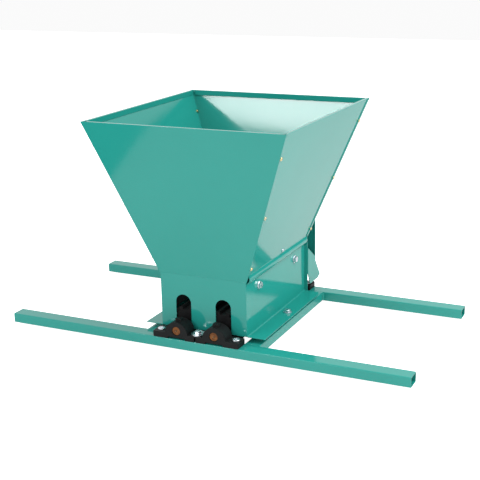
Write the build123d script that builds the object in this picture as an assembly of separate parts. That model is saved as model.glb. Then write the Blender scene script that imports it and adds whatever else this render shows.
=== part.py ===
from build123d import *
import os
from math import acos, cos, pi, radians, sin, sqrt, tan

# Hand-cranked twin-roller grape crusher on two carrying rails.
# X runs left to right seen from the front, Y front to back, Z up, in millimetres.
# The origin is the centre of the front rail's underside.

# Frame of rectangular tube
rail_length = 950.0
tube_width = 35.0
tube_height = 22.0
tube_wall = 1.5
weld_leg = 3.0

# Roller box and hopper, bent from one gauge of sheet
sheet = 1.5
box_depth = 331.0
box_height = 121.0
box_setback = 26.5
spacer_height = 10.5
foot_reach = 41.5
box_overhang = 7.5
corner_tab = 12.0
tab_inset = 6.0
bend_radius = 3.0
hopper_width = 460.0
hopper_depth = 494.0
hopper_height = 336.5
hem_drop = 12.0
hem_gap = 4.0
hem_end = 12.0
corner_flange = 8.0
tongue_drop = 12.0
lip_above = 15.0
lip_below = 5.0
lip_bulge = 5.5
lip_inset = 3.0
slot_width = 37.0
slot_rise = 69.0
slot_spread = 3.0

# Shafts, rollers and pillow blocks
shaft_pitch = 90.0
shaft_lift = 19.0
shaft_radius = 10.0
shaft_end_recess = 1.5
centre_drill = 2.5
running_fit = 0.05
roller_nip = 8.0
roller_side_gap = 15.0
rib_height = 7.0
rib_width = 9.0
rib_count = 10
roller_play = 2.0
pin_radius = 3.0
pin_inset = 12.0
collar_radius = 16.0
collar_width = 6.0
arch_radius = 27.0
arch_rise = 20.0
foot_height = 13.0
foot_end = 57.5
foot_corner = 3.0
foot_bolt_offset = 45.0
block_gap = 4.0
boss_side = 14.0
boss_top = 25.0
recess_half = 21.0
recess_height = 4.0

# Gear pair behind the box: the pitch circles touch midway between the shafts
gear_teeth = 30
pressure_angle = 20.0
backlash = 0.35
gear_face = 14.0
gear_setback = 7.0
gear_bay = 51.5
gear_side_gap = 8.0
gear_rim = 9.0
hub_radius = 18.0
hub_length = 8.0
key_side = 6.0
key_depth = 3.5

# Rear guard, its heights taken from the shafts or from the top of the box
guard_overhang = 9.0
guard_standoff = 48.5
guard_rise = 85.0
knee_rise = 55.0
guard_foot_rise = 6.0
guard_kick = 34.0
guard_notch = 14.0
guard_corner = 10.0
guard_edge = 4.0
flap_high_rise = 99.0
flap_low_rise = 36.0
flap_cut = 13.5
guard_screw_inset = 10.5
guard_screw_rises = (61.0, 85.0)

# Crank
crank_throw = 200.0
crank_hub_radius = 16.0
crank_hub_length = 24.0
crank_clearance = 3.5
arm_width = 24.0
arm_thickness = 8.0
grip_length = 96.0
grip_radius = 14.0
grip_bolt_radius = 5.0
grip_play = 1.0

# Plastic guide plates over the rollers
guide_sheet = 3.0
guide_height = 24.0
guide_drop = 13.0
guide_gap = 5.7
guide_angle = 43.3
guide_bolt_drop = 24.0
guide_bolt_spread = 200.0
guide_end = 3.0

# Fasteners: thread radius, head across flats, head height, washer radius, washer thickness
m8 = (4.0, 13.0, 5.4, 9.0, 1.6)
domed_radius = 8.5
domed_height = 2.4
clamp_washer_radius = 15.5
clamp_washer_thickness = 2.5
nut_height = 6.5
screw_radius = 2.0
screw_head_radius = 4.0
screw_head_height = 2.6
small_nut_flats = 7.0
small_nut_height = 3.0
hole_clearance = 0.4
foot_bolt_shift = 8.0
spacer_radius = 9.0
corner_screw_rises = (285.0, 154.0, 33.0)
lip_screw_rise = 23.0
lip_screw_shift = 11.0

# Derived places
half_tube = tube_width / 2
shaft_z = tube_height + shaft_lift
half_pitch = shaft_pitch / 2
drive_x = -half_pitch
driven_x = half_pitch
gear_module = shaft_pitch / gear_teeth
gear_tip = half_pitch + gear_module
roller_radius = half_pitch - roller_nip / 2
inner_x = half_pitch + roller_radius + roller_side_gap
side_x = inner_x + sheet
box_base = tube_height + spacer_height + sheet
box_top = box_base + box_height
box_front = box_setback
box_back = box_front + box_depth
box_mid = (box_front + box_back) / 2
rail_pitch = box_back + gear_bay
cross_x = half_pitch + gear_tip + gear_side_gap + half_tube
hopper_top = box_top + hopper_height
slope_x = (hopper_width / 2 - side_x) / hopper_height
slope_y = (hopper_depth - box_depth) / 2 / hopper_height
side_wall = sheet * sqrt(1 + slope_x ** 2)
end_wall = sheet * sqrt(1 + slope_y ** 2)
lip_top = box_top + lip_above
slot_top = shaft_z + slot_rise
foot_bolt_x = side_x + foot_reach / 2
foot_bolt_y = box_mid + foot_bolt_shift
lip_screw_y = box_mid + lip_screw_shift
lip_screw_z = box_top + lip_screw_rise
corner_screw_heights = [box_top + rise for rise in corner_screw_rises]
roller_front = box_front + sheet + roller_play
roller_back = box_back - sheet - roller_play
shaft_front = shaft_end_recess - half_tube
gear_front = box_back + gear_setback
gear_back = gear_front + gear_face
guard_x = side_x + guard_overhang
guard_y = box_back + guard_standoff
guard_top = box_top + guard_rise
guard_knee = shaft_z + knee_rise
guard_foot = shaft_z + guard_foot_rise
guard_screw_x = side_x - guard_screw_inset
guard_screw_heights = [shaft_z + rise for rise in guard_screw_rises]
kick_y = guard_y + guard_kick
arm_back = kick_y + crank_clearance + crank_hub_length
arm_front = arm_back - arm_thickness
grip_z = shaft_z + crank_throw
guide_top = box_top - guide_drop
guide_tip_x = half_pitch + (roller_radius + guide_gap) * cos(radians(guide_angle))
guide_tip_z = shaft_z + (roller_radius + guide_gap) * sin(radians(guide_angle))
guide_bolt_z = box_top - guide_bolt_drop


standing = (Align.CENTER, Align.CENTER, Align.MIN)


def half_width(z):
    return side_x + slope_x * (z - box_top)


def half_depth(z):
    return box_depth / 2 + slope_y * (z - box_top)


def block(x0, x1, y0, y1, z0, z1):
    return Pos((x0 + x1) / 2, (y0 + y1) / 2, (z0 + z1) / 2) * Box(x1 - x0, y1 - y0, z1 - z0)


def tapered(low, high, z0, z1):
    """Flat-sided solid between a rectangle (x0, x1, y0, y1) at z0 and another at z1."""
    rings = []
    for (x0, x1, y0, y1), z in ((low, z0), (high, z1)):
        rings.append([(x0, y0, z), (x1, y0, z), (x1, y1, z), (x0, y1, z)])
    bottom, top = rings
    corners = [bottom, top]
    for i in range(4):
        j = (i + 1) % 4
        corners.append([bottom[i], bottom[j], top[j], top[i]])
    return Solid(Shell([Face(Wire.make_polygon(ring)) for ring in corners]))


def rod(origin, direction, radius, length):
    return Plane(origin=origin, z_dir=direction).location * Cylinder(radius, length, align=standing)


def rod_y(x, z, radius, y0, y1):
    return rod((x, y0, z), (0, 1, 0), radius, y1 - y0)


def placed(solid, origin, direction):
    return Plane(origin=origin, z_dir=direction).location * solid


def mirrored(solid):
    return mirror(solid, about=Plane.YZ)


def hexagon(flats, height):
    return extrude(RegularPolygon(flats / 2, 6, major_radius=False), height)


def hex_bolt(length, spec=m8):
    """Head above z = 0, thread below."""
    radius, flats, head = spec[:3]
    crown = Cylinder(flats * 0.57, head, align=standing)
    crown = chamfer(crown.edges().group_by(Axis.Z)[-1], 1.0)
    thread = Pos(0, 0, -length) * Cylinder(radius, length, align=standing)
    return (hexagon(flats, head) & crown) + thread


def hex_nut(radius, flats, height):
    crown = Cylinder(flats * 0.57, height, align=standing)
    crown = chamfer(crown.edges().group_by(Axis.Z)[-1], 0.6)
    return (hexagon(flats, height) & crown) - Cylinder(radius, height * 2)


def domed_bolt(length):
    """Low round head with a hexagon socket above z = 0, thread below."""
    head = Cylinder(domed_radius, domed_height, align=standing)
    head = fillet(head.edges().group_by(Axis.Z)[-1], domed_height * 0.8)
    head -= Pos(0, 0, domed_height * 0.4) * hexagon(5.0, domed_height)
    return head + Pos(0, 0, -length) * Cylinder(m8[0], length, align=standing)


def washer(inner, outer, thickness):
    return Cylinder(outer, thickness, align=standing) - Cylinder(inner, thickness * 3)


def screw(length):
    """Pan head above z = 0, thread below."""
    head = Cylinder(screw_head_radius, screw_head_height, align=standing)
    head = fillet(head.edges().group_by(Axis.Z)[-1], screw_head_height * 0.6)
    cross = Box(screw_head_radius, 0.8, 2.4) + Box(0.8, screw_head_radius, 2.4)
    head -= Pos(0, 0, screw_head_height) * cross
    return head + Pos(0, 0, -length) * Cylinder(screw_radius, length, align=standing)


def hole(origin, direction, radius):
    """Cutting rod through two sheets, centred on its origin."""
    return placed(Cylinder(radius, 5 * sheet), origin, direction)


# Frame

def tube_section():
    outer = fillet(Rectangle(tube_width, tube_height).vertices(), 2.0)
    inner = fillet(Rectangle(tube_width - 2 * tube_wall, tube_height - 2 * tube_wall).vertices(), 0.8)
    return outer - inner


def rail(y):
    section = Plane(origin=(-rail_length / 2, y, tube_height / 2), x_dir=(0, 1, 0), z_dir=(1, 0, 0))
    tube = extrude(section * tube_section(), rail_length)
    m8_hole = m8[0] + hole_clearance
    for x in (-foot_bolt_place(), 0, foot_bolt_place()):
        tube -= hole((x, y, tube_height - tube_wall / 2), (0, 0, 1), m8_hole)
    return tube


def foot_bolt_place():
    return half_pitch + foot_bolt_offset


def cross_tube():
    start = half_tube
    length = rail_pitch - tube_width
    section = Plane(origin=(cross_x, start, tube_height / 2), x_dir=(-1, 0, 0), z_dir=(0, 1, 0))
    tube = extrude(section * tube_section(), length)
    tube -= hole((foot_bolt_x, foot_bolt_y, tube_height - tube_wall / 2), (0, 0, 1), m8[0] + hole_clearance)
    return tube


def frame_welds():
    """Fillet welds up the outer corner of each joint between rail and cross tube."""
    beads = []
    height = tube_height - 2 * 2.0
    for y, turn in ((half_tube, 1), (rail_pitch - half_tube, -1)):
        for x, side in ((cross_x + half_tube, 1), (cross_x - half_tube, -1)):
            corner = [(0, 0), (side * weld_leg, 0), (0, turn * weld_leg)]
            wedge = extrude(make_face(Polyline(*corner, close=True)), height)
            beads.append(Pos(x, y, 2.0) * wedge)
    beads += [mirrored(bead) for bead in beads]
    return Compound(children=beads)


# Roller box

def slot(x, y0, y1):
    centre_z = slot_top - slot_width / 2
    opening = block(x - slot_width / 2, x + slot_width / 2, y0, y1, 0, centre_z)
    return opening + rod_y(x, centre_z, slot_width / 2, y0, y1)


def box_end_panel(outer_y, inward, overhang):
    """Front or back sheet of the roller box: two slots, two tabs inside the side sheets."""
    y0, y1 = sorted((outer_y, outer_y + inward * sheet))
    t0, t1 = sorted((outer_y + inward * sheet / 2, outer_y + inward * (sheet + corner_tab)))
    reach = side_x + overhang
    panel = block(-reach, reach, y0, y1, box_base, box_top)
    for x in (-inner_x, inner_x - sheet):
        panel += block(x, x + sheet, t0, t1, box_base + tab_inset, box_top - tab_inset)
    for x in (-half_pitch - slot_spread, half_pitch + slot_spread):
        panel -= slot(x, y0 - 1, y1 + 1)
    return panel


def box_front_panel():
    return box_end_panel(box_front, 1, 0)


def box_back_panel():
    panel = box_end_panel(box_back, -1, box_overhang)
    for x in (-guard_screw_x, guard_screw_x):
        for z in guard_screw_heights:
            panel -= hole((x, box_back, z), (0, 1, 0), screw_radius + hole_clearance)
    return panel


def box_side_panel():
    """Right side sheet, bent out along its foot to stand over the cross tube."""
    sole = box_base - sheet
    wall = Pos((inner_x + side_x) / 2, (sole + box_top) / 2) * Rectangle(sheet, box_top - sole)
    foot = Pos(inner_x + (foot_reach + sheet) / 2, sole + sheet / 2) * Rectangle(foot_reach + sheet, sheet)
    profile = wall + foot
    inside = profile.vertices().sort_by_distance((side_x, box_base))[0]
    profile = fillet(inside, bend_radius)
    outside = profile.vertices().sort_by_distance((inner_x, sole))[0]
    profile = fillet(outside, bend_radius + sheet)
    start = Plane(origin=(0, box_back - sheet, 0), x_dir=(1, 0, 0), z_dir=(0, -1, 0))
    panel = extrude(start * profile, box_depth - 2 * sheet)
    panel -= hole((foot_bolt_x, foot_bolt_y, box_base - sheet / 2), (0, 0, 1), m8[0] + hole_clearance)
    for y in guide_bolt_places():
        panel -= hole((side_x - sheet / 2, y, guide_bolt_z), (1, 0, 0), m8[0] + hole_clearance)
    return panel


def guide_bolt_places():
    return (box_mid - guide_bolt_spread / 2, box_mid + guide_bolt_spread / 2)


# Hopper

def screw_point(z, front):
    """Middle of the corner flange at height z, on its outer face."""
    reach = half_depth(z) - end_wall - corner_flange / 2
    y = box_mid - reach if front else box_mid + reach
    return (half_width(z) + side_wall, y, z)


def side_normal():
    size = sqrt(1 + slope_x ** 2)
    return (1 / size, 0, -slope_x / size)


def corner_screw_holes(solid):
    for z in corner_screw_heights:
        for front in (True, False):
            cutter = hole(screw_point(z, front), side_normal(), screw_radius + hole_clearance)
            solid = solid - cutter - mirrored(cutter)
    return solid


def hopper_front_panel():
    """Sloping front sheet: tongue inside the box, hemmed rim, flanges round both side sheets."""
    def outer(z):
        return box_mid - half_depth(z)

    def section(z):
        x = half_width(z) + side_wall
        return (-x, x, outer(z), outer(z) + end_wall)
    panel = tapered(section(box_top), section(hopper_top), box_top, hopper_top)
    flange_top = hopper_top - 4
    ends = []
    for z in (lip_top + 2, flange_top):
        x = half_width(z)
        y = outer(z) + end_wall
        ends.append((x, x + side_wall, y - 0.2, y + corner_flange))
    flange = tapered(ends[0], ends[1], lip_top + 2, flange_top)
    panel += flange
    panel += mirrored(flange)
    tongue_y = box_front + sheet
    tongue_x = inner_x - 2 * sheet - 0.5
    panel += block(-tongue_x, tongue_x, tongue_y, tongue_y + sheet, box_top - tongue_drop, box_top + sheet)
    panel += block(-tongue_x, tongue_x, outer(box_top), tongue_y + sheet, box_top, box_top + sheet)
    rim_x = half_width(hopper_top) - hem_end
    rim_y = outer(hopper_top)
    inner = rim_y + end_wall + hem_gap
    panel += block(-rim_x, rim_x, rim_y + 0.5, inner + sheet, hopper_top - sheet, hopper_top)
    panel += block(-rim_x, rim_x, inner, inner + sheet, hopper_top - hem_drop, hopper_top)
    return corner_screw_holes(panel)


def hopper_back_panel():
    """Twin of the front sheet, drilled for the guard that hangs on it."""
    panel = mirror(hopper_front_panel(), about=Plane.XZ.offset(-box_mid))
    for x, y, z, direction in guard_screw_places():
        if z > guard_top:
            panel -= hole((x, y, z), direction, screw_radius + hole_clearance)
    return panel


def hopper_side_panel():
    """Right sloping sheet: tongue inside the box, rolled lip over the box, hemmed rim."""
    def section(z):
        y = half_depth(z) - end_wall
        return (half_width(z) - side_wall, half_width(z), box_mid - y, box_mid + y)
    panel = tapered(section(box_top), section(hopper_top), box_top, hopper_top)
    reach = box_depth / 2 - sheet - corner_tab - 2
    y0, y1 = box_mid - reach, box_mid + reach
    panel += block(inner_x - sheet, inner_x, y0, y1, box_top - tongue_drop, box_top + sheet)
    panel += block(inner_x - sheet, side_x - 0.1, y0, y1, box_top, box_top + sheet)
    rim_y = half_depth(hopper_top) - hem_end
    inner = half_width(hopper_top) - side_wall - hem_gap - sheet
    panel += block(inner, half_width(hopper_top) - 0.5, box_mid - rim_y, box_mid + rim_y,
                   hopper_top - sheet, hopper_top)
    panel += block(inner, inner + sheet, box_mid - rim_y, box_mid + rim_y, hopper_top - hem_drop, hopper_top)
    panel += rolled_lip()
    panel -= hole((half_width(lip_screw_z) - side_wall / 2, lip_screw_y, lip_screw_z), side_normal(),
                  screw_radius + hole_clearance)
    return corner_screw_holes(panel)


def rolled_lip():
    """Hollow roll from the sloping sheet out and down over the top edge of the box."""
    low = (side_x, box_top - lip_below)
    high = (half_width(lip_top), lip_top)
    across = high[0] - low[0]
    up = high[1] - low[1]
    chord = sqrt(across ** 2 + up ** 2)
    out = (up / chord, -across / chord)
    middle = ((low[0] + high[0]) / 2, (low[1] + high[1]) / 2)
    crest = (middle[0] + out[0] * lip_bulge, middle[1] + out[1] * lip_bulge)
    under = (crest[0] - out[0] * sheet, crest[1] - out[1] * sheet)
    low_inside = (side_x, low[1] + 2 * sheet)
    high_inside = (half_width(lip_top - 2 * sheet), lip_top - 2 * sheet)
    outline = ThreePointArc(low, crest, high)
    sunk = sheet / 4
    outline += Polyline(high, (high[0] - sunk, high[1]), (high_inside[0] - sunk, high_inside[1]), high_inside)
    outline += ThreePointArc(high_inside, under, low_inside)
    outline += Line(low_inside, low)
    half = box_depth / 2 - lip_inset
    start = Plane(origin=(0, box_mid + half, 0), x_dir=(1, 0, 0), z_dir=(0, -1, 0))
    return extrude(start * make_face(outline), 2 * half)


# Fasteners of hopper and box

def corner_screws():
    grip = 2 * sheet
    screws = []
    for z in corner_screw_heights:
        for front in (True, False):
            item = screw(grip + small_nut_height + 1.0)
            screws.append(placed(item, screw_point(z, front), side_normal()))
    screws += [mirrored(item) for item in screws]
    return Compound(children=screws)


def corner_screw_nuts():
    nx, ny, nz = side_normal()
    nuts = []
    for z in corner_screw_heights:
        for front in (True, False):
            x, y, height = screw_point(z, front)
            seat = (x - 2 * sheet * nx, y, height - 2 * sheet * nz)
            nut = hex_nut(screw_radius, small_nut_flats, small_nut_height)
            nuts.append(placed(nut, seat, (-nx, 0, -nz)))
    nuts += [mirrored(item) for item in nuts]
    return Compound(children=nuts)


def lip_screws():
    place = (half_width(lip_screw_z), lip_screw_y, lip_screw_z)
    item = placed(screw(sheet + small_nut_height + 1.0), place, side_normal())
    return Compound(children=[item, mirrored(item)])


def lip_screw_nuts():
    nx, ny, nz = side_normal()
    seat = (half_width(lip_screw_z) - sheet * nx, lip_screw_y, lip_screw_z - sheet * nz)
    item = placed(hex_nut(screw_radius, small_nut_flats, small_nut_height), seat, (-nx, 0, -nz))
    return Compound(children=[item, mirrored(item)])


def guide_plate():
    """Right-hand plate inside the box: flat on the side sheet, then sloping to the roller."""
    y_half = box_depth / 2 - sheet - corner_tab - guide_end
    bend_z = guide_top - guide_height
    fall = bend_z - guide_tip_z
    lean = inner_x - guide_tip_x
    run = sqrt(fall ** 2 + lean ** 2)
    across = (fall / run * guide_sheet, -lean / run * guide_sheet)
    points = [
        (inner_x, guide_top),
        (inner_x, bend_z),
        (guide_tip_x, guide_tip_z),
        (guide_tip_x - across[0], guide_tip_z - across[1]),
        (inner_x - guide_sheet, bend_z + guide_sheet * (run - fall) / lean),
        (inner_x - guide_sheet, guide_top),
    ]
    start = Plane(origin=(0, box_mid + y_half, 0), x_dir=(1, 0, 0), z_dir=(0, -1, 0))
    plate = extrude(start * make_face(Polyline(*points, close=True)), 2 * y_half)
    for y in guide_bolt_places():
        plate -= hole((inner_x - guide_sheet / 2, y, guide_bolt_z), (1, 0, 0), m8[0] + hole_clearance)
    return plate


def both_sides(items):
    return Compound(children=items + [mirrored(item) for item in items])


def guide_row(solid, x, direction):
    return both_sides([placed(solid, (x, y, guide_bolt_z), direction) for y in guide_bolt_places()])


def guide_bolts():
    bolt = hex_bolt(m8[4] + sheet + guide_sheet + nut_height + 2)
    return guide_row(bolt, side_x + m8[4], (1, 0, 0))


def guide_washers():
    return guide_row(washer(m8[0], m8[3], m8[4]), side_x, (1, 0, 0))


def guide_nuts():
    return guide_row(hex_nut(m8[0], m8[1], nut_height), inner_x - guide_sheet, (-1, 0, 0))


def flange_pair(solid, z):
    return both_sides([Pos(foot_bolt_x, foot_bolt_y, z) * solid])


def flange_bolts():
    top = box_base + m8[4]
    return flange_pair(hex_bolt(top - tube_height + tube_wall + nut_height + 2), top)


def flange_washers():
    return flange_pair(washer(m8[0], m8[3] + 1, m8[4]), box_base)


def flange_spacers():
    return flange_pair(washer(m8[0], spacer_radius, spacer_height), tube_height)


def captive_nut(x, y):
    return placed(hex_nut(m8[0], m8[1], nut_height), (x, y, tube_height - tube_wall), (0, 0, -1))


def flange_captive_nuts():
    return both_sides([captive_nut(foot_bolt_x, foot_bolt_y)])


# Pillow blocks

def pillow_block(shaft_x, side, y_mid):
    """One-piece plastic block; side is +1 where the long foot points to +X."""
    y0 = y_mid - half_tube
    y1 = y_mid + half_tube
    arch_z = shaft_z + arch_rise - arch_radius
    body = rod_y(0, arch_z, arch_radius, y0, y1)
    body &= block(-arch_radius, arch_radius, y0, y1, arch_z, arch_z + arch_radius)
    body += block(-arch_radius, arch_radius, y0, y1, tube_height, arch_z)
    inner_end = half_pitch - block_gap / 2
    foot = block(-inner_end, foot_end, y0, y1, tube_height, tube_height + foot_height)
    foot = fillet(foot.edges().filter_by(Axis.Z).group_by(Axis.X)[-1], foot_corner)
    foot = fillet(foot.edges().filter_by(Axis.Y).group_by(Axis.Z)[-1], 1.5)
    boss = block(-boss_side / 2, boss_side / 2, y_mid - boss_side / 2, y_mid + boss_side / 2,
                 shaft_z, shaft_z + boss_top)
    boss = fillet(boss.edges().filter_by(Axis.Z), 1.5)
    whole = body + foot + boss
    recess_top = tube_height + recess_height
    whole -= block(-recess_half, recess_half, y0 - 1, y1 + 1, tube_height - 1, recess_top)
    whole -= rod_y(0, shaft_z, shaft_radius + running_fit, y0 - 1, y1 + 1)
    for x in (foot_bolt_offset, -half_pitch):
        bore = Cylinder(m8[0] + hole_clearance, 4 * foot_height)
        whole -= placed(bore, (x, y_mid, tube_height), (0, 0, 1))
    if side < 0:
        whole = mirrored(whole)
    return Pos(shaft_x, 0, 0) * whole


def foot_places():
    return [(x, y) for y in (0, rail_pitch) for x in (-foot_bolt_place(), foot_bolt_place())]


def clamp_places():
    return [(0, 0), (0, rail_pitch)]


def stood(solid, places, z):
    return Compound(children=[Pos(x, y, z) * solid for x, y in places])


def bearing_bolts():
    bolt = domed_bolt(foot_height + tube_wall + nut_height + 2)
    return stood(bolt, foot_places(), tube_height + foot_height)


def clamp_bolts():
    bolt = hex_bolt(foot_height + clamp_washer_thickness + tube_wall + nut_height + 2)
    return stood(bolt, clamp_places(), tube_height + foot_height + clamp_washer_thickness)


def clamp_washers():
    disc = washer(m8[0], clamp_washer_radius, clamp_washer_thickness)
    return stood(disc, clamp_places(), tube_height + foot_height)


def bearing_captive_nuts():
    return Compound(children=[captive_nut(x, y) for x, y in foot_places() + clamp_places()])


# Rollers and shafts

def roller(x):
    """Ribbed roller, bored for its shaft and cross-drilled at both ends for its pins."""
    core = roller_radius - rib_height
    outline = Circle(core)
    rib = Pos(roller_radius / 2, 0) * Rectangle(roller_radius, rib_width)
    for spot in PolarLocations(0, rib_count):
        outline += spot * rib
    outline &= Circle(roller_radius)
    start = Plane(origin=(x, roller_back, shaft_z), x_dir=(1, 0, 0), z_dir=(0, -1, 0))
    body = extrude(start * outline, roller_back - roller_front)
    body -= rod_y(x, shaft_z, shaft_radius, roller_front - 1, roller_back + 1)
    for y in (roller_front + pin_inset, roller_back - pin_inset):
        body -= placed(Cylinder(pin_radius, 4 * roller_radius), (x, y, shaft_z), (0, 0, 1))
    return body


def roller_pins(x):
    length = 2 * (roller_radius - rib_height) - 3
    return Compound(children=[placed(Cylinder(pin_radius, length), (x, y, shaft_z), (0, 0, 1))
                              for y in (roller_front + pin_inset, roller_back - pin_inset)])


def shaft(x, end):
    """Bright bar with centre-drilled ends, crossed by the roller pins and cut for the key."""
    bar = rod_y(x, shaft_z, shaft_radius, shaft_front, end)
    bar = chamfer(bar.edges().filter_by(GeomType.CIRCLE), 0.8)
    for y, turn in ((shaft_front, 90), (end, -90)):
        bar -= Pos(x, y, shaft_z) * Rot(turn, 0, 0) * Cone(0.1, 2 * centre_drill, 4 * centre_drill)
    for y in (roller_front + pin_inset, roller_back - pin_inset):
        bar -= placed(Cylinder(pin_radius, 3 * shaft_radius), (x, y, shaft_z), (0, 0, 1))
    return bar - gear_key(x)


def collar(x):
    middle = (half_tube + box_front) / 2
    y0 = middle - collar_width / 2
    ring = rod_y(x, shaft_z, collar_radius, y0, y0 + collar_width)
    ring = chamfer(ring.edges().filter_by(GeomType.CIRCLE), 0.6)
    ring -= rod_y(x, shaft_z, shaft_radius, y0 - 1, y0 + collar_width + 1)
    return ring


# Gears

def gear_outline(phase):
    """Involute spur gear outline; a tooth centre points along the angle phase."""
    base_r = half_pitch * cos(radians(pressure_angle))
    root_r = half_pitch - 1.25 * gear_module
    half_tooth = (pi * gear_module / 2 - backlash) / 2 / half_pitch
    roll = tan(radians(pressure_angle)) - radians(pressure_angle)

    def flank(radius):
        angle = acos(min(1.0, base_r / radius))
        return half_tooth + roll - (tan(angle) - angle)

    steps = 5
    start = max(base_r, root_r)
    radii = [start + (gear_tip - start) * i / steps for i in range(steps + 1)]
    points = []
    for tooth in range(gear_teeth):
        middle = phase + 2 * pi * tooth / gear_teeth
        points.append((root_r, middle - flank(radii[0])))
        points += [(r, middle - flank(r)) for r in radii]
        points += [(r, middle + flank(r)) for r in reversed(radii)]
        points.append((root_r, middle + flank(radii[0])))
    return make_face(Polyline(*[(r * cos(a), r * sin(a)) for r, a in points], close=True))


def gear(x, phase):
    """Teeth and web nearest the box, hub towards the pillow block."""
    start = Plane(origin=(x, gear_back, shaft_z), x_dir=(1, 0, 0), z_dir=(0, -1, 0))
    wheel = extrude(start * gear_outline(phase), gear_face)
    wheel += rod_y(x, shaft_z, hub_radius, gear_back - 1, gear_back + hub_length)
    web = rod_y(x, shaft_z, half_pitch - gear_rim, gear_back - 3, gear_back + 1)
    web -= rod_y(x, shaft_z, hub_radius + 2, gear_back - 4, gear_back + 2)
    wheel -= web
    wheel -= rod_y(x, shaft_z, shaft_radius, gear_front - 1, gear_back + hub_length + 1)
    wheel -= set_screw(x)
    return wheel - gear_key(x)


def gear_key(x):
    y1 = gear_back + hub_length - 6
    low = shaft_z + shaft_radius - key_depth
    return block(x - key_side / 2, x + key_side / 2, gear_front, y1, low, low + key_side)


def set_screw(x):
    """Headless screw in the hub, a quarter turn from the key, bearing on the shaft."""
    y = gear_back + hub_length - 3.5
    return rod((x + shaft_radius, y, shaft_z), (1, 0, 0), 2.5, hub_radius - shaft_radius - 0.6)


# Rear guard

def guard_strip(points, x0, x1):
    """Sheet bent along points (y, z), its thickness laid to the left of the path."""
    start = Plane(origin=(x0, 0, 0), x_dir=(0, 1, 0), z_dir=(1, 0, 0))
    strip = None
    for (ya, za), (yb, zb) in zip(points, points[1:]):
        run = sqrt((yb - ya) ** 2 + (zb - za) ** 2)
        ny, nz = (za - zb) / run * sheet, (yb - ya) / run * sheet
        face = make_face(Polyline((ya, za), (yb, zb), (yb + ny, zb + nz), (ya + ny, za + nz), close=True))
        piece = extrude(start * face, x1 - x0)
        strip = piece if strip is None else strip + piece
    return strip


def gear_guard():
    """Cover over gears and rear blocks, hung on the hopper's back and screwed to the box."""
    kick = guard_strip([(kick_y, guard_foot), (guard_y, guard_knee)], -guard_x, guard_x)
    thickness_edges = kick.edges().filter_by(lambda edge: edge.length < 2 * sheet)
    kick = fillet(thickness_edges.group_by(Axis.Z)[0], guard_corner)
    panel = kick + guard_strip([(guard_y, guard_knee), (guard_y, guard_top)], -guard_x, guard_x)
    panel += block(-guard_x, guard_x, guard_y - sheet, guard_y, guard_knee - 1.2, guard_knee + 1)
    hang_y = box_mid + half_depth(guard_top)
    panel += block(-guard_x, guard_x, hang_y + 0.6, guard_y, guard_top - sheet, guard_top)
    tab_x = guard_x - corner_tab
    ends = []
    for z in (guard_top - sheet, guard_top + 2 * corner_tab):
        y = box_mid + half_depth(z)
        ends.append((-tab_x, tab_x, y, y + end_wall))
    panel += tapered(ends[0], ends[1], guard_top - sheet, guard_top + 2 * corner_tab)
    edge = block(guard_x - sheet, guard_x, guard_y - guard_edge, guard_y, guard_knee, guard_top)
    side = guard_flap() + guard_tab() + edge
    panel += side
    panel += mirrored(side)
    panel -= rod_y(drive_x, shaft_z, guard_notch, guard_y + 10, kick_y + 5)
    for x, y, z, direction in guard_screw_places():
        panel -= hole((x, y, z), direction, screw_radius + hole_clearance)
    return panel


def guard_flap():
    """Side flap: slanted top edge, open below, cut away over the rail, rear corner rounded."""
    points = [
        (box_back, shaft_z + flap_high_rise),
        (guard_y - sheet, guard_knee + 10),
        (guard_y - 0.2, guard_knee),
        (kick_y - 0.3, guard_foot),
        (box_back + flap_cut, guard_foot),
        (box_back, shaft_z + flap_low_rise),
    ]
    outline = make_face(Polyline(*points, close=True))
    rear = outline.vertices().sort_by_distance((kick_y, guard_foot))[0]
    start = Plane(origin=(guard_x - sheet, 0, 0), x_dir=(0, 1, 0), z_dir=(1, 0, 0))
    return extrude(start * fillet(rear, guard_corner), sheet)


def guard_tab():
    return block(guard_x - 2 * corner_tab - sheet, guard_x - 0.2, box_back, box_back + sheet,
                 guard_screw_heights[0] - 10, guard_screw_heights[1] + 10)


def guard_screw_places():
    """Point and outward direction of each screw, on the guard's outer face."""
    places = []
    for x in (-guard_screw_x, guard_screw_x):
        for z in guard_screw_heights:
            places.append((x, box_back + sheet, z, (0, 1, 0)))
        z = guard_top + corner_tab
        size = sqrt(1 + slope_y ** 2)
        places.append((x, box_mid + half_depth(z) + end_wall, z, (0, 1 / size, -slope_y / size)))
    return places


def guard_screws():
    item = screw(2 * sheet + small_nut_height + 1.0)
    return Compound(children=[placed(item, (x, y, z), way) for x, y, z, way in guard_screw_places()])


def guard_screw_nuts():
    nuts = []
    for x, y, z, way in guard_screw_places():
        seat = [p - 2 * sheet * n for p, n in zip((x, y, z), way)]
        back = tuple(-n for n in way)
        nuts.append(placed(hex_nut(screw_radius, small_nut_flats, small_nut_height), seat, back))
    return Compound(children=nuts)


# Crank

def crank_arm():
    """Hub on the drive shaft with a flat arm up to the grip."""
    hub_front = arm_back - crank_hub_length
    arm = rod_y(drive_x, shaft_z, crank_hub_radius, hub_front, arm_back)
    arm += block(drive_x - arm_width / 2, drive_x + arm_width / 2, arm_front, arm_back, shaft_z, grip_z)
    arm += rod_y(drive_x, grip_z, arm_width / 2, arm_front, arm_back)
    arm -= rod_y(drive_x, shaft_z, shaft_radius, hub_front - 1, arm_back + 1)
    arm -= rod_y(drive_x, grip_z, grip_bolt_radius, arm_front - 1, arm_back + 1)
    return arm - crank_pin()


def crank_pin():
    y = arm_back - crank_hub_length + 7
    return placed(Cylinder(pin_radius, 2 * crank_hub_radius - 2), (drive_x, y, shaft_z), (1, 0, 0))


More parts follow.
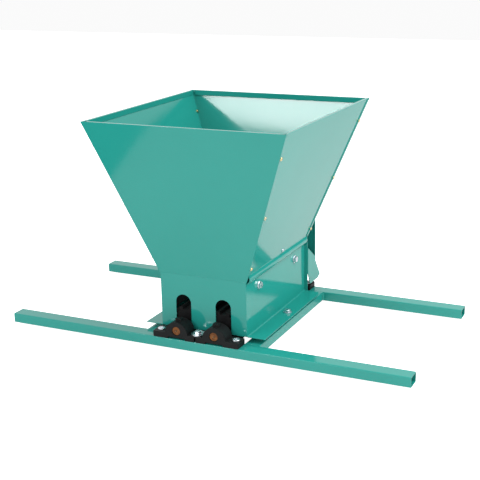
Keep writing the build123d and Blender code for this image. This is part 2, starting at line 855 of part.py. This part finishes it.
def grip_bolt():
    """Shoulder bolt: head outside the grip, nut against the arm's inner face."""
    end = arm_back + grip_length + 2 * grip_play
    bolt = rod_y(drive_x, grip_z, grip_bolt_radius, arm_front - nut_height - 3, end)
    head = rod_y(drive_x, grip_z, 9.0, end, end + 4.5)
    return bolt + fillet(head.edges().group_by(Axis.Y)[-1], 3.0)


def grip_nut():
    return placed(hex_nut(grip_bolt_radius, 17.0, nut_height), (drive_x, arm_front, grip_z), (0, -1, 0))


def crank_grip():
    """Turned grip, slightly waisted, free to spin on its bolt."""
    y0 = arm_back + grip_play
    thin = grip_radius - 2.5
    bore = grip_bolt_radius + running_fit
    far = grip_length - 4
    outline = Polyline((bore, 0), (thin - 1, 0), (thin, 2))
    outline += ThreePointArc((thin, 2), (grip_radius + 0.6, grip_length / 2), (grip_radius - 1, far))
    outline += Polyline((grip_radius - 1, far), (grip_radius - 4, grip_length), (bore, grip_length))
    outline += Line((bore, grip_length), (bore, 0))
    start = Plane(origin=(drive_x, y0, grip_z), x_dir=(1, 0, 0), z_dir=(0, 0, 1))
    return revolve(start * make_face(outline), Axis((drive_x, y0, grip_z), (0, 1, 0)), 360)


def nodes():
    right_cross = cross_tube()
    right_box = box_side_panel()
    right_hopper = hopper_side_panel()
    right_guide = guide_plate()
    driven_phase = pi / gear_teeth if gear_teeth % 2 == 0 else 0.0
    return {
        "front_rail": rail(0),
        "back_rail": rail(rail_pitch),
        "left_cross_tube": mirrored(right_cross),
        "right_cross_tube": right_cross,
        "frame_welds": frame_welds(),
        "box_front_panel": box_front_panel(),
        "box_back_panel": box_back_panel(),
        "box_left_panel": mirrored(right_box),
        "box_right_panel": right_box,
        "hopper_front_panel": hopper_front_panel(),
        "hopper_back_panel": hopper_back_panel(),
        "hopper_left_panel": mirrored(right_hopper),
        "hopper_right_panel": right_hopper,
        "corner_screws": corner_screws(),
        "corner_screw_nuts": corner_screw_nuts(),
        "lip_screws": lip_screws(),
        "lip_screw_nuts": lip_screw_nuts(),
        "left_guide_plate": mirrored(right_guide),
        "right_guide_plate": right_guide,
        "guide_bolts": guide_bolts(),
        "guide_washers": guide_washers(),
        "guide_nuts": guide_nuts(),
        "flange_bolts": flange_bolts(),
        "flange_washers": flange_washers(),
        "flange_spacers": flange_spacers(),
        "flange_captive_nuts": flange_captive_nuts(),
        "front_drive_bearing": pillow_block(drive_x, -1, 0),
        "front_driven_bearing": pillow_block(driven_x, 1, 0),
        "back_drive_bearing": pillow_block(drive_x, -1, rail_pitch),
        "back_driven_bearing": pillow_block(driven_x, 1, rail_pitch),
        "bearing_bolts": bearing_bolts(),
        "clamp_bolts": clamp_bolts(),
        "clamp_washers": clamp_washers(),
        "bearing_captive_nuts": bearing_captive_nuts(),
        "gear_guard": gear_guard(),
        "guard_screws": guard_screws(),
        "guard_screw_nuts": guard_screw_nuts(),
        "drive_shaft": shaft(drive_x, arm_back + 2) - crank_pin(),
        "drive_roller": roller(drive_x),
        "drive_roller_pins": roller_pins(drive_x),
        "drive_collar": collar(drive_x),
        "drive_gear": gear(drive_x, 0.0),
        "drive_gear_key": gear_key(drive_x),
        "drive_gear_set_screw": set_screw(drive_x),
        "crank_arm": crank_arm(),
        "crank_pin": crank_pin(),
        "grip_bolt": grip_bolt(),
        "grip_nut": grip_nut(),
        "crank_grip": crank_grip(),
        "driven_shaft": shaft(driven_x, rail_pitch + half_tube + 1.5),
        "driven_roller": roller(driven_x),
        "driven_roller_pins": roller_pins(driven_x),
        "driven_collar": collar(driven_x),
        "driven_gear": gear(driven_x, driven_phase),
        "driven_gear_key": gear_key(driven_x),
        "driven_gear_set_screw": set_screw(driven_x),
    }


os.makedirs("parts", exist_ok=True)
for name, shape in nodes().items():
    export_step(shape, "parts/" + name + ".step")
    print(name)
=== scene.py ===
import bmesh
import bpy
import math
from mathutils import Matrix, Vector


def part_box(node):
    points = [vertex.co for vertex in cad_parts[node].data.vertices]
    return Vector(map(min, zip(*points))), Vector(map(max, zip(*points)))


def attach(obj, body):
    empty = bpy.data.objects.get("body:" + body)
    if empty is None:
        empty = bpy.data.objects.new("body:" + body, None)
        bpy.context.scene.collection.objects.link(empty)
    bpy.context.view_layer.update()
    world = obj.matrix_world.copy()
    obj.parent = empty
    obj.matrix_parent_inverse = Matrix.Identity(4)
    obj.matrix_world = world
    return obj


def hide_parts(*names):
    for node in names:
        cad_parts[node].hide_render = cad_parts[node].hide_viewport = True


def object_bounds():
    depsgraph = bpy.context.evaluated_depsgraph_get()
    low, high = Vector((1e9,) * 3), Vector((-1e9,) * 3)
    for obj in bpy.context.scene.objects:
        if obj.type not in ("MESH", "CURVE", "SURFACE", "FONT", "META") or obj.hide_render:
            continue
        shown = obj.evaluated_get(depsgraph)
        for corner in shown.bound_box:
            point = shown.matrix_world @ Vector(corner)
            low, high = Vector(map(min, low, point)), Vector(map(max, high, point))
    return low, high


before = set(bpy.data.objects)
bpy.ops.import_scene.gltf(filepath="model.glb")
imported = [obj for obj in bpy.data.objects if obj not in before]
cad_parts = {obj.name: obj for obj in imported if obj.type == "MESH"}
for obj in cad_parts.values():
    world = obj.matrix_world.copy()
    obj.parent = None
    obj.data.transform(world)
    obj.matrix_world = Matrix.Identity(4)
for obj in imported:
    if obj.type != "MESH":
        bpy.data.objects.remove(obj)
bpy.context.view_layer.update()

print("frame loaded:", len(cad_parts), "nodes")


def link(tree, source, target):
    tree.links.new(source, target)


def addNode(tree, kind, **settings):
    node = tree.nodes.new(kind)
    for key, value in settings.items():
        setattr(node, key, value)
    return node


def startGroup(name, inputs, outputs):
    group = bpy.data.node_groups.new(name, "ShaderNodeTree")
    for label, kind, value in inputs:
        socket = group.interface.new_socket(name=label, in_out="INPUT", socket_type=kind)
        socket.default_value = value
    for label, kind in outputs:
        group.interface.new_socket(name=label, in_out="OUTPUT", socket_type=kind)
    return group, addNode(group, "NodeGroupInput"), addNode(group, "NodeGroupOutput")


def placeGroup(tree, group, **values):
    node = addNode(tree, "ShaderNodeGroup")
    node.node_tree = group
    for label, value in values.items():
        node.inputs[label].default_value = value
    return node


def remap(tree, source, low, high, fromLow=0.0, fromHigh=1.0):
    node = addNode(tree, "ShaderNodeMapRange")
    node.inputs["From Min"].default_value = fromLow
    node.inputs["From Max"].default_value = fromHigh
    node.inputs["To Min"].default_value = low
    node.inputs["To Max"].default_value = high
    link(tree, source, node.inputs["Value"])
    return node.outputs["Result"]


def mixColors(tree, mask, first, second):
    node = addNode(tree, "ShaderNodeMix", data_type="RGBA")
    link(tree, mask, node.inputs["Factor"])
    for value, socket in ((first, node.inputs["A"]), (second, node.inputs["B"])):
        if hasattr(value, "is_linked"):
            link(tree, value, socket)
        else:
            socket.default_value = (*value, 1.0)
    return node.outputs["Result"]


def combine(tree, operation, first, second):
    node = addNode(tree, "ShaderNodeMath", operation=operation)
    for value, socket in ((first, node.inputs[0]), (second, node.inputs[1])):
        if hasattr(value, "is_linked"):
            link(tree, value, socket)
        else:
            socket.default_value = value
    return node.outputs[0]


def makeOrangePeel():
    # long soft waves of sprayed enamel with a finer peel on top
    group, inside, outside = startGroup(
        "orangePeel",
        [("Wave Scale", "NodeSocketFloat", 60.0), ("Peel Scale", "NodeSocketFloat", 420.0),
         ("Peel Share", "NodeSocketFloat", 0.3)],
        [("Height", "NodeSocketFloat")])
    coords = addNode(group, "ShaderNodeTexCoord")
    wave = addNode(group, "ShaderNodeTexNoise")
    peel = addNode(group, "ShaderNodeTexNoise")
    wave.inputs["Detail"].default_value = 1.0
    peel.inputs["Detail"].default_value = 2.0
    for noise, label in ((wave, "Wave Scale"), (peel, "Peel Scale")):
        link(group, coords.outputs["Object"], noise.inputs["Vector"])
        link(group, inside.outputs[label], noise.inputs["Scale"])
    fine = combine(group, "MULTIPLY", peel.outputs["Fac"], inside.outputs["Peel Share"])
    link(group, combine(group, "ADD", wave.outputs["Fac"], fine), outside.inputs["Height"])
    return group


def makeBlotches():
    # uneven film thickness, plating colour and handling marks
    group, inside, outside = startGroup(
        "blotches",
        [("Scale", "NodeSocketFloat", 9.0), ("Detail", "NodeSocketFloat", 3.0),
         ("Contrast", "NodeSocketFloat", 1.0)],
        [("Mask", "NodeSocketFloat")])
    coords = addNode(group, "ShaderNodeTexCoord")
    noise = addNode(group, "ShaderNodeTexNoise")
    link(group, coords.outputs["Object"], noise.inputs["Vector"])
    link(group, inside.outputs["Scale"], noise.inputs["Scale"])
    link(group, inside.outputs["Detail"], noise.inputs["Detail"])
    centred = combine(group, "SUBTRACT", noise.outputs["Fac"], 0.5)
    wide = combine(group, "MULTIPLY", centred, inside.outputs["Contrast"])
    shifted = addNode(group, "ShaderNodeMath", operation="ADD", use_clamp=True)
    link(group, wide, shifted.inputs[0])
    shifted.inputs[1].default_value = 0.5
    link(group, shifted.outputs[0], outside.inputs["Mask"])
    return group


def makeSoftEdges():
    # rounds the shading at bends and cut edges, and marks where they are for a painted edge highlight
    group, inside, outside = startGroup(
        "softEdges",
        [("Radius", "NodeSocketFloat", 0.0008), ("Gain", "NodeSocketFloat", 4.0)],
        [("Normal", "NodeSocketVector"), ("Mask", "NodeSocketFloat")])
    bevel = addNode(group, "ShaderNodeBevel", samples=4)
    surface = addNode(group, "ShaderNodeNewGeometry")
    dot = addNode(group, "ShaderNodeVectorMath", operation="DOT_PRODUCT")
    link(group, inside.outputs["Radius"], bevel.inputs["Radius"])
    link(group, bevel.outputs["Normal"], dot.inputs[0])
    link(group, surface.outputs["Normal"], dot.inputs[1])
    turned = combine(group, "SUBTRACT", 1.0, dot.outputs["Value"])
    gained = addNode(group, "ShaderNodeMath", operation="MULTIPLY", use_clamp=True)
    link(group, turned, gained.inputs[0])
    link(group, inside.outputs["Gain"], gained.inputs[1])
    link(group, bevel.outputs["Normal"], outside.inputs["Normal"])
    link(group, gained.outputs[0], outside.inputs["Mask"])
    return group


def makeMouldGrain():
    # spark-eroded mould texture with a little flow unevenness
    group, inside, outside = startGroup(
        "mouldGrain",
        [("Grain Scale", "NodeSocketFloat", 900.0), ("Flow Scale", "NodeSocketFloat", 45.0)],
        [("Height", "NodeSocketFloat"), ("Flow", "NodeSocketFloat")])
    coords = addNode(group, "ShaderNodeTexCoord")
    grain = addNode(group, "ShaderNodeTexVoronoi", feature="SMOOTH_F1")
    flow = addNode(group, "ShaderNodeTexNoise")
    flow.inputs["Detail"].default_value = 4.0
    for texture, label in ((grain, "Grain Scale"), (flow, "Flow Scale")):
        link(group, coords.outputs["Object"], texture.inputs["Vector"])
        link(group, inside.outputs[label], texture.inputs["Scale"])
    height = combine(group, "ADD", grain.outputs["Distance"], flow.outputs["Fac"])
    link(group, height, outside.inputs["Height"])
    link(group, flow.outputs["Fac"], outside.inputs["Flow"])
    return group


def makeTurning():
    # lathe marks: rings round an axis that runs front to back through Centre
    group, inside, outside = startGroup(
        "turning",
        [("Centre", "NodeSocketVector", (0.0, 0.0, 0.0)), ("Pitch", "NodeSocketFloat", 0.0007)],
        [("Height", "NodeSocketFloat"), ("Face", "NodeSocketFloat")])
    coords = addNode(group, "ShaderNodeTexCoord")
    offset = addNode(group, "ShaderNodeVectorMath", operation="SUBTRACT")
    link(group, coords.outputs["Object"], offset.inputs[0])
    link(group, inside.outputs["Centre"], offset.inputs[1])
    parts = addNode(group, "ShaderNodeSeparateXYZ")
    link(group, offset.outputs["Vector"], parts.inputs[0])
    radiusSquared = combine(group, "ADD", combine(group, "POWER", parts.outputs["X"], 2.0),
                            combine(group, "POWER", parts.outputs["Z"], 2.0))
    radius = combine(group, "SQRT", radiusSquared, 0.0)
    facing = addNode(group, "ShaderNodeSeparateXYZ")
    link(group, coords.outputs["Normal"], facing.inputs[0])
    face = combine(group, "GREATER_THAN", combine(group, "ABSOLUTE", facing.outputs["Y"], 0.0), 0.7)
    along = combine(group, "MULTIPLY", parts.outputs["Y"], combine(group, "SUBTRACT", 1.0, face))
    across = combine(group, "MULTIPLY", radius, face)
    phase = combine(group, "DIVIDE", combine(group, "ADD", along, across), inside.outputs["Pitch"])
    ring = combine(group, "SINE", combine(group, "MULTIPLY", phase, 2 * math.pi), 0.0)
    link(group, remap(group, ring, 0.0, 1.0, -1.0, 1.0), outside.inputs["Height"])
    link(group, face, outside.inputs["Face"])
    return group


orangePeel = makeOrangePeel()
blotches = makeBlotches()
softEdges = makeSoftEdges()
mouldGrain = makeMouldGrain()
turning = makeTurning()
print("shared effects ready")


def startMaterial(name):
    material = bpy.data.materials.new(name)
    material.use_nodes = True
    tree = material.node_tree
    return material, tree, tree.nodes["Principled BSDF"]


def bumpInto(tree, shader, height, distance, strength=1.0, normal=None):
    bump = addNode(tree, "ShaderNodeBump")
    bump.inputs["Distance"].default_value = distance
    bump.inputs["Strength"].default_value = strength
    link(tree, height, bump.inputs["Height"])
    if normal is not None:
        link(tree, normal, bump.inputs["Normal"])
    link(tree, bump.outputs["Normal"], shader.inputs["Normal"])


enamelLook = {
    "color": (0.0155, 0.290, 0.246),
    "thinColor": (0.018, 0.312, 0.265),
    # painted highlight: a lighter colour along bends and cut edges
    "edgeHighlightColor": (0.07, 0.44, 0.38),
    "edgeHighlightShare": 0.35,
    "smooth": 0.07,
    "dull": 0.12,
    "ior": 1.5,
    "edgeRadius": 0.0007,
    "peelDepth": 0.00003,
}


crankColors = {
    "color": (0.020, 0.020, 0.021),
    "thinColor": (0.028, 0.028, 0.029),
    # painted highlight along the crank's edges
    "edgeHighlightColor": (0.06, 0.06, 0.06),
}


def makeEnamel(name, look):
    material, tree, shader = startMaterial(name)
    film = placeGroup(tree, blotches, **{"Scale": 6.0, "Detail": 3.0, "Contrast": 1.6})
    edges = placeGroup(tree, softEdges, **{"Radius": look["edgeRadius"], "Gain": 3.0})
    peel = placeGroup(tree, orangePeel, **{"Wave Scale": 55.0, "Peel Scale": 480.0, "Peel Share": 0.2})
    body = mixColors(tree, film.outputs["Mask"], look["color"], look["thinColor"])
    # the edge mask lightens the colour as a painted highlight along bends and cut edges
    edgeHighlightMask = combine(tree, "MULTIPLY", edges.outputs["Mask"], look["edgeHighlightShare"])
    link(tree, mixColors(tree, edgeHighlightMask, body, look["edgeHighlightColor"]), shader.inputs["Base Color"])
    link(tree, remap(tree, film.outputs["Mask"], look["smooth"], look["dull"]), shader.inputs["Roughness"])
    shader.inputs["IOR"].default_value = look["ior"]
    bumpInto(tree, shader, peel.outputs["Height"], look["peelDepth"], 1.0, edges.outputs["Normal"])
    return material


platingLook = {
    "bright": {"color": (0.72, 0.75, 0.77), "tint": (0.60, 0.65, 0.72), "smooth": 0.16, "dull": 0.36},
    "yellow": {"color": (0.78, 0.60, 0.27), "tint": (0.66, 0.60, 0.44), "smooth": 0.18, "dull": 0.34},
}


def makePlating(name, look):
    material, tree, shader = startMaterial(name)
    tone = placeGroup(tree, blotches, **{"Scale": 160.0, "Detail": 4.0, "Contrast": 2.4})
    edges = placeGroup(tree, softEdges, **{"Radius": 0.0004, "Gain": 3.0})
    grain = placeGroup(tree, mouldGrain, **{"Grain Scale": 1500.0, "Flow Scale": 300.0})
    metal = mixColors(tree, tone.outputs["Mask"], look["color"], look["tint"])
    link(tree, metal, shader.inputs["Base Color"])
    link(tree, remap(tree, tone.outputs["Mask"], look["smooth"], look["dull"]), shader.inputs["Roughness"])
    shader.inputs["Metallic"].default_value = 1.0
    bumpInto(tree, shader, grain.outputs["Height"], 0.00002, 1.0, edges.outputs["Normal"])
    return material


mouldedLook = {
    "bearing": {"color": (0.007, 0.0075, 0.008), "tint": (0.012, 0.0125, 0.013), "smooth": 0.36, "dull": 0.54,
                "sheen": 0.14},
    "roller": {"color": (0.004, 0.004, 0.0043), "tint": (0.008, 0.008, 0.0085), "smooth": 0.42, "dull": 0.62,
               "sheen": 0.12},
    "grip": {"color": (0.006, 0.006, 0.0065), "tint": (0.010, 0.010, 0.0105), "smooth": 0.30, "dull": 0.45,
             "sheen": 0.16},
}


def makeMoulded(name, look):
    material, tree, shader = startMaterial(name)
    edges = placeGroup(tree, softEdges, **{"Radius": 0.0008, "Gain": 3.0})
    grain = placeGroup(tree, mouldGrain, **{"Grain Scale": 800.0, "Flow Scale": 60.0})
    resin = mixColors(tree, grain.outputs["Flow"], look["color"], look["tint"])
    link(tree, resin, shader.inputs["Base Color"])
    link(tree, remap(tree, grain.outputs["Flow"], look["smooth"], look["dull"], 0.3, 0.7),
         shader.inputs["Roughness"])
    shader.inputs["Specular IOR Level"].default_value = look["sheen"]
    bumpInto(tree, shader, grain.outputs["Height"], 0.00006, 1.0, edges.outputs["Normal"])
    return material


steelLook = {
    "shaft": {"color": (0.46, 0.36, 0.27), "tint": (0.34, 0.22, 0.13), "faceColor": (0.27, 0.105, 0.035),
              "faceTint": (0.12, 0.048, 0.022), "smooth": 0.26, "dull": 0.5, "pitch": 0.0006},
    "gear": {"color": (0.20, 0.20, 0.205), "tint": (0.12, 0.118, 0.115), "faceColor": (0.34, 0.335, 0.33),
             "faceTint": (0.22, 0.215, 0.21), "smooth": 0.28, "dull": 0.5, "pitch": 0.0009},
}


def makeSteel(name, look, centre):
    material, tree, shader = startMaterial(name)
    tone = placeGroup(tree, blotches, **{"Scale": 140.0, "Detail": 5.0, "Contrast": 2.6})
    marks = placeGroup(tree, turning, **{"Centre": centre, "Pitch": look["pitch"]})
    side = mixColors(tree, tone.outputs["Mask"], look["color"], look["tint"])
    face = mixColors(tree, tone.outputs["Mask"], look["faceColor"], look["faceTint"])
    link(tree, mixColors(tree, marks.outputs["Face"], side, face), shader.inputs["Base Color"])
    link(tree, remap(tree, tone.outputs["Mask"], look["smooth"], look["dull"]), shader.inputs["Roughness"])
    shader.inputs["Metallic"].default_value = 0.9
    bumpInto(tree, shader, marks.outputs["Height"], 0.00002, 0.6)
    return material


def middleOf(node):
    low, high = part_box(node)
    return (low + high) / 2


greenEnamel = makeEnamel("greenEnamel", enamelLook)
crankEnamel = makeEnamel("crankEnamel", {**enamelLook, **crankColors})
brightZinc = makePlating("brightZinc", platingLook["bright"])
yellowZinc = makePlating("yellowZinc", platingLook["yellow"])
bearingNylon = makeMoulded("bearingNylon", mouldedLook["bearing"])
rollerNylon = makeMoulded("rollerNylon", mouldedLook["roller"])
gripPlasticAndSlotShade = makeMoulded("gripPlasticAndSlotShade", mouldedLook["grip"])
shaftSteel = {side: makeSteel(side + "ShaftSteel", steelLook["shaft"], middleOf(side + "_shaft"))
              for side in ("drive", "driven")}
gearSteel = {side: makeSteel(side + "GearSteel", steelLook["gear"], middleOf(side + "_gear"))
             for side in ("drive", "driven")}
print("finishes ready")


def finishFor(name):
    side = "driven" if name.startswith("driven") else "drive"
    if name.endswith("_bearing"):
        return bearingNylon
    if name.endswith("_roller"):
        return rollerNylon
    # the guide plates take the black grip plastic as painted shade, darkening the roller slots
    if name == "crank_grip" or name.endswith("_guide_plate"):
        return gripPlasticAndSlotShade
    if name.endswith("_shaft"):
        return shaftSteel[side]
    if name.endswith("_gear"):
        return gearSteel[side]
    if name == "crank_arm":
        return crankEnamel
    if name.startswith(("corner_screw", "guard_screw")):
        return yellowZinc
    if name.endswith(("_bolts", "_screws", "_washers", "_nuts", "_spacers", "_bolt", "_nut", "_pins", "_pin",
                      "_collar", "_key", "_set_screw")):
        return brightZinc
    return greenEnamel


for name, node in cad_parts.items():
    for place in node.material_slots:
        place.material = finishFor(name)
print("finishes placed")


# pieces modelled finer than the frame carries them

def addPiece(name, mesh, node, body, material):
    mesh.materials.append(material)
    piece = bpy.data.objects.new(name, mesh)
    bpy.context.scene.collection.objects.link(piece)
    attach(piece, body)
    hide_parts(node)
    return piece


beads = {"leg": 0.0034, "longestLeg": 0.003, "pitch": 0.0042, "ripple": 0.0007, "steps": 6, "sides": 5,
         "swell": 0.28}


def makeWeldBeads():
    # rippled fillet runs up the corners between rails and cross tubes
    low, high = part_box("frame_welds")
    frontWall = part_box("front_rail")[1].y
    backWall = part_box("back_rail")[0].y
    tubeLow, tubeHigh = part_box("right_cross_tube")
    mesh = bpy.data.meshes.new("weldBeads")
    shape = bmesh.new()
    rows = round((high.z - low.z) / beads["pitch"]) * beads["steps"]
    for wallY, turn in ((frontWall, 1), (backWall, -1)):
        for wallX, side in ((tubeHigh.x, 1), (tubeLow.x, -1), (-tubeHigh.x, -1), (-tubeLow.x, 1)):
            rings = []
            for row in range(rows + 1):
                wave = abs(math.sin(math.pi * row / beads["steps"]))
                leg = min(beads["leg"] - beads["ripple"] + beads["ripple"] * wave, beads["longestLeg"])
                z = low.z + (high.z - low.z) * row / rows
                ring = []
                for k in range(beads["sides"] + 1):
                    share = k / beads["sides"]
                    swell = 1 + beads["swell"] * math.sin(math.pi * share)
                    ring.append(shape.verts.new((wallX + side * leg * (1 - share) * swell,
                                                 wallY + turn * leg * share * swell, z)))
                ring.append(shape.verts.new((wallX, wallY, z)))
                rings.append(ring)
            count = len(rings[0])
            for below, above in zip(rings, rings[1:]):
                for k in range(count):
                    j = (k + 1) % count
                    face = shape.faces.new((below[k], below[j], above[j], above[k]))
                    face.smooth = k < beads["sides"]
            shape.faces.new(rings[0])
            shape.faces.new(rings[-1])
    bmesh.ops.recalc_face_normals(shape, faces=shape.faces)
    shape.to_mesh(mesh)
    shape.free()
    return addPiece("weldBeads", mesh, "frame_welds", "frame", greenEnamel)


gripShape = {"flutes": 12, "depth": 0.0011, "rings": 40, "segments": 96, "bore": 0.00505,
             "waist": 0.17, "endRound": 0.14}


def makeGrip():
    # fluted handle grip: straight finger grooves along a slightly waisted barrel
    low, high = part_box("crank_grip")
    centre = (low + high) / 2
    radius, length = (high.x - low.x) / 2, high.y - low.y
    waist, endRound = gripShape["waist"], gripShape["endRound"]
    mesh = bpy.data.meshes.new("flutedGrip")
    shape = bmesh.new()
    rings = []
    for row in range(gripShape["rings"] + 1):
        share = row / gripShape["rings"]
        barrel = radius * (1 - waist + waist * math.sin(math.pi * (0.12 + 0.76 * share)))
        lead = min(share / 0.04, (1 - share) / 0.05, 1.0)
        barrel *= 1 - endRound + endRound * math.sin(math.pi / 2 * lead)
        fade = max(0.0, min((share - 0.08) / 0.08, (0.92 - share) / 0.08, 1.0))
        ring = []
        for k in range(gripShape["segments"]):
            angle = 2 * math.pi * k / gripShape["segments"]
            dip = gripShape["depth"] * fade * max(0.0, math.cos(angle * gripShape["flutes"])) ** 2
            reach = barrel - dip
            ring.append(shape.verts.new((centre.x + reach * math.cos(angle), low.y + length * share,
                                         centre.z + reach * math.sin(angle))))
        rings.append(ring)
    for y in (high.y, low.y):
        ring = []
        for k in range(gripShape["segments"]):
            angle = 2 * math.pi * k / gripShape["segments"]
            ring.append(shape.verts.new((centre.x + gripShape["bore"] * math.cos(angle), y,
                                         centre.z + gripShape["bore"] * math.sin(angle))))
        rings.append(ring)
    rings.append(rings[0])
    for inner, outer in zip(rings, rings[1:]):
        for k in range(gripShape["segments"]):
            j = (k + 1) % gripShape["segments"]
            shape.faces.new((inner[k], inner[j], outer[j], outer[k])).smooth = True
    bmesh.ops.recalc_face_normals(shape, faces=shape.faces)
    shape.to_mesh(mesh)
    shape.free()
    return addPiece("flutedGrip", mesh, "crank_grip", "grip", gripPlasticAndSlotShade)


makeWeldBeads()
makeGrip()
print("finer pieces ready")


studio = {"floorSize": 14.0, "floorColor": (0.76, 0.76, 0.76), "floorGlow": 0.12, "floorWhite": 1.0,
          "skyColor": (1.0, 1.0, 1.0), "skyStrength": 0.96}


def makeFloor():
    # pale sheet at the lowest point, lit up behind the object as a light table is
    low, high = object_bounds()
    mesh = bpy.data.meshes.new("studioFloor")
    half = studio["floorSize"] / 2
    corners = [(-half, -half, 0), (half, -half, 0), (half, half, 0), (-half, half, 0)]
    mesh.from_pydata(corners, [], [(0, 1, 2, 3)])
    floor = bpy.data.objects.new("studioFloor", mesh)
    floor.location = (0, 0, low.z)
    bpy.context.scene.collection.objects.link(floor)
    material, tree, shader = startMaterial("floorWhite")
    tone = placeGroup(tree, blotches, **{"Scale": 2.0, "Detail": 2.0, "Contrast": 0.6})
    pale = studio["floorColor"]
    paper = mixColors(tree, tone.outputs["Mask"], pale, [c * 0.995 for c in pale])
    link(tree, paper, shader.inputs["Base Color"])
    shader.inputs["Roughness"].default_value = 0.6
    shader.inputs["Emission Color"].default_value = (1, 1, 1, 1)
    path = addNode(tree, "ShaderNodeLightPath")
    glow = remap(tree, path.outputs["Is Camera Ray"], studio["floorGlow"], studio["floorWhite"])
    link(tree, glow, shader.inputs["Emission Strength"])
    mesh.materials.append(material)


def makeSky():
    world = bpy.data.worlds.new("studioSky")
    world.use_nodes = True
    background = world.node_tree.nodes["Background"]
    background.inputs["Color"].default_value = (*studio["skyColor"], 1.0)
    background.inputs["Strength"].default_value = studio["skyStrength"]
    bpy.context.scene.world = world


softboxes = [
    {"name": "keySoftbox", "at": (-1.2, -2.5, 1.43), "aim": (0.0, 0.35, 0.35), "size": (1.0, 0.36),
     "power": 17.0},
    {"name": "sideSoftbox", "at": (1.3, 0.15, 1.9), "aim": (0.05, 0.2, 0.15), "size": (1.1, 1.1),
     "power": 27.0},
]


def makeSoftbox(box):
    light = bpy.data.lights.new(box["name"], "AREA")
    light.shape = "RECTANGLE"
    light.size, light.size_y = box["size"]
    light.energy = box["power"]
    lamp = bpy.data.objects.new(box["name"], light)
    lamp.location = box["at"]
    aim = Vector(box["aim"]) - Vector(box["at"])
    lamp.rotation_euler = aim.to_track_quat("-Z", "Y").to_euler()
    bpy.context.scene.collection.objects.link(lamp)


# black cards the enamel mirrors; they throw no shadow
flags = [
    {"name": "rightFlag", "at": (0.95, 1.6, 0.42), "aim": (0.1, 0.3, 0.2), "size": (1.3, 0.8)},
    {"name": "frontFlag", "at": (-0.78, -0.50, 0.0), "aim": (-0.78, -0.50, 1.0), "size": (0.5, 0.6)},
]
flagLook = {"color": (0.012, 0.012, 0.013), "nap": (0.016, 0.016, 0.017), "roughness": 0.9}


def makeFlags():
    material, tree, shader = startMaterial("flagVelvet")
    nap = placeGroup(tree, blotches, **{"Scale": 30.0, "Detail": 3.0, "Contrast": 1.0})
    velvet = mixColors(tree, nap.outputs["Mask"], flagLook["color"], flagLook["nap"])
    link(tree, velvet, shader.inputs["Base Color"])
    shader.inputs["Roughness"].default_value = flagLook["roughness"]
    for flag in flags:
        wide, high = flag["size"][0] / 2, flag["size"][1] / 2
        mesh = bpy.data.meshes.new(flag["name"])
        corners = [(-wide, -high, 0), (wide, -high, 0), (wide, high, 0), (-wide, high, 0)]
        mesh.from_pydata(corners, [], [(0, 1, 2, 3)])
        card = bpy.data.objects.new(flag["name"], mesh)
        card.location = flag["at"]
        aim = Vector(flag["aim"]) - Vector(flag["at"])
        card.rotation_euler = aim.to_track_quat("Z", "Y").to_euler()
        card.visible_camera = False
        card.visible_diffuse = False
        card.visible_shadow = False
        mesh.materials.append(material)
        bpy.context.scene.collection.objects.link(card)


shot = {"target": (0.0259, 0.1625, 0.2041), "azimuth": 25.61, "elevation": 16.27, "roll": -1.17,
        "distance": 2.277, "lens": 76.65, "sensor": 36.0}


def makeCamera():
    turn, rise, roll = (math.radians(shot[k]) for k in ("azimuth", "elevation", "roll"))
    back = Vector((math.sin(turn) * math.cos(rise), -math.cos(turn) * math.cos(rise), math.sin(rise)))
    right = Vector((math.cos(turn), math.sin(turn), 0))
    up = back.cross(right)
    rolledRight = right * math.cos(roll) + up * math.sin(roll)
    rolledUp = up * math.cos(roll) - right * math.sin(roll)
    data = bpy.data.cameras.new("studioCamera")
    data.lens, data.sensor_width = shot["lens"], shot["sensor"]
    data.clip_start, data.clip_end = 0.05, 100.0
    camera = bpy.data.objects.new("studioCamera", data)
    axes = Matrix((rolledRight, rolledUp, back)).transposed().to_4x4()
    camera.matrix_world = Matrix.Translation(Vector(shot["target"]) + back * shot["distance"]) @ axes
    bpy.context.scene.collection.objects.link(camera)
    bpy.context.scene.camera = camera


makeFloor()
makeSky()
for box in softboxes:
    makeSoftbox(box)
makeFlags()
makeCamera()
bpy.context.scene.view_settings.view_transform = "Standard"
print("studio ready")
